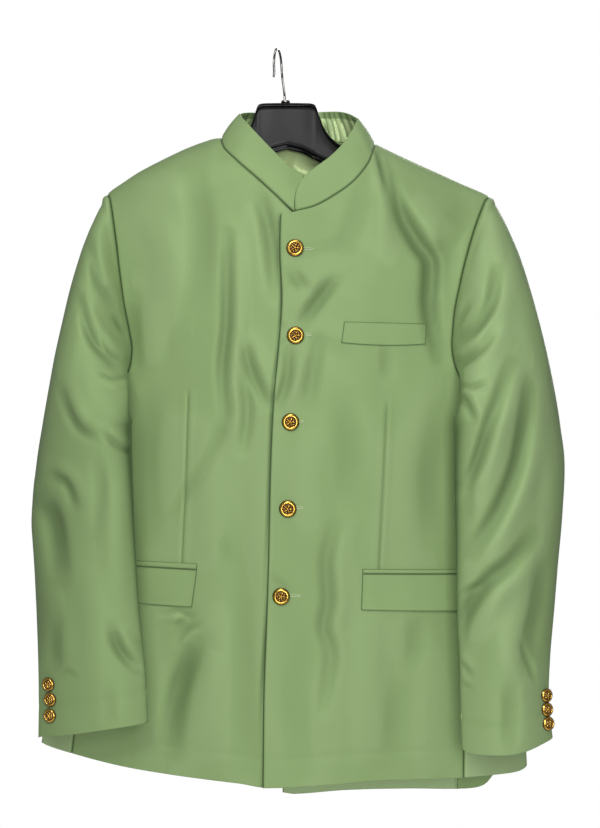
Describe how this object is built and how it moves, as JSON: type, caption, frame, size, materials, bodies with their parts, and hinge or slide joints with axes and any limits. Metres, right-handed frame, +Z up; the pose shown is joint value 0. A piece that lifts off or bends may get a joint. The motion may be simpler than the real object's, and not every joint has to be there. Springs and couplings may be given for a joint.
{
  "type": "bandhgala jacket on a hanger",
  "caption": "Buttoned bandhgala jacket with a stand collar, chest welt, flap pockets and domed metal buttons, hanging on a shaped suit hanger with a wire hook.",
  "frame": {"origin": "the point under the bend of the hook that rests on the rod", "axes": "+Z up, the front of the jacket faces -Y, +X toward the wearer's left"},
  "size_m": [0.6435, 0.1489, 0.9216],
  "materials": {
    "suiting": "sage green suiting with a soft sheen, plain fine weave",
    "lining_satin": "light yellow green satin lining",
    "button_gold": "antique gold with a dark recess",
    "hanger_plastic": "black moulded plastic",
    "hook_chrome": "bright chrome wire"
  },
  "bodies": {
    "root": {"front_left": "suiting", "front_right": "suiting", "back_left": "suiting", "back_right": "suiting", "side_left": "suiting", "side_right": "suiting", "top_sleeve_left": "suiting", "under_sleeve_left": "suiting", "top_sleeve_right": "suiting", "under_sleeve_right": "suiting", "collar": "suiting", "collar_lining": "suiting", "neck_lining": "lining_satin", "chest_welt": "suiting", "jet_left": "suiting", "flap_left": "suiting", "jet_right": "suiting", "flap_right": "suiting", "front_button_1": "button_gold", "front_button_2": "button_gold", "front_button_3": "button_gold", "front_button_4": "button_gold", "front_button_5": "button_gold", "cuff_button_left_1": "button_gold", "cuff_button_left_2": "button_gold", "cuff_button_left_3": "button_gold", "cuff_button_right_1": "button_gold", "cuff_button_right_2": "button_gold", "cuff_button_right_3": "button_gold", "hanger": "hanger_plastic", "hook_cap": "hook_chrome", "hook": "hook_chrome"}
  },
  "joints": []
}
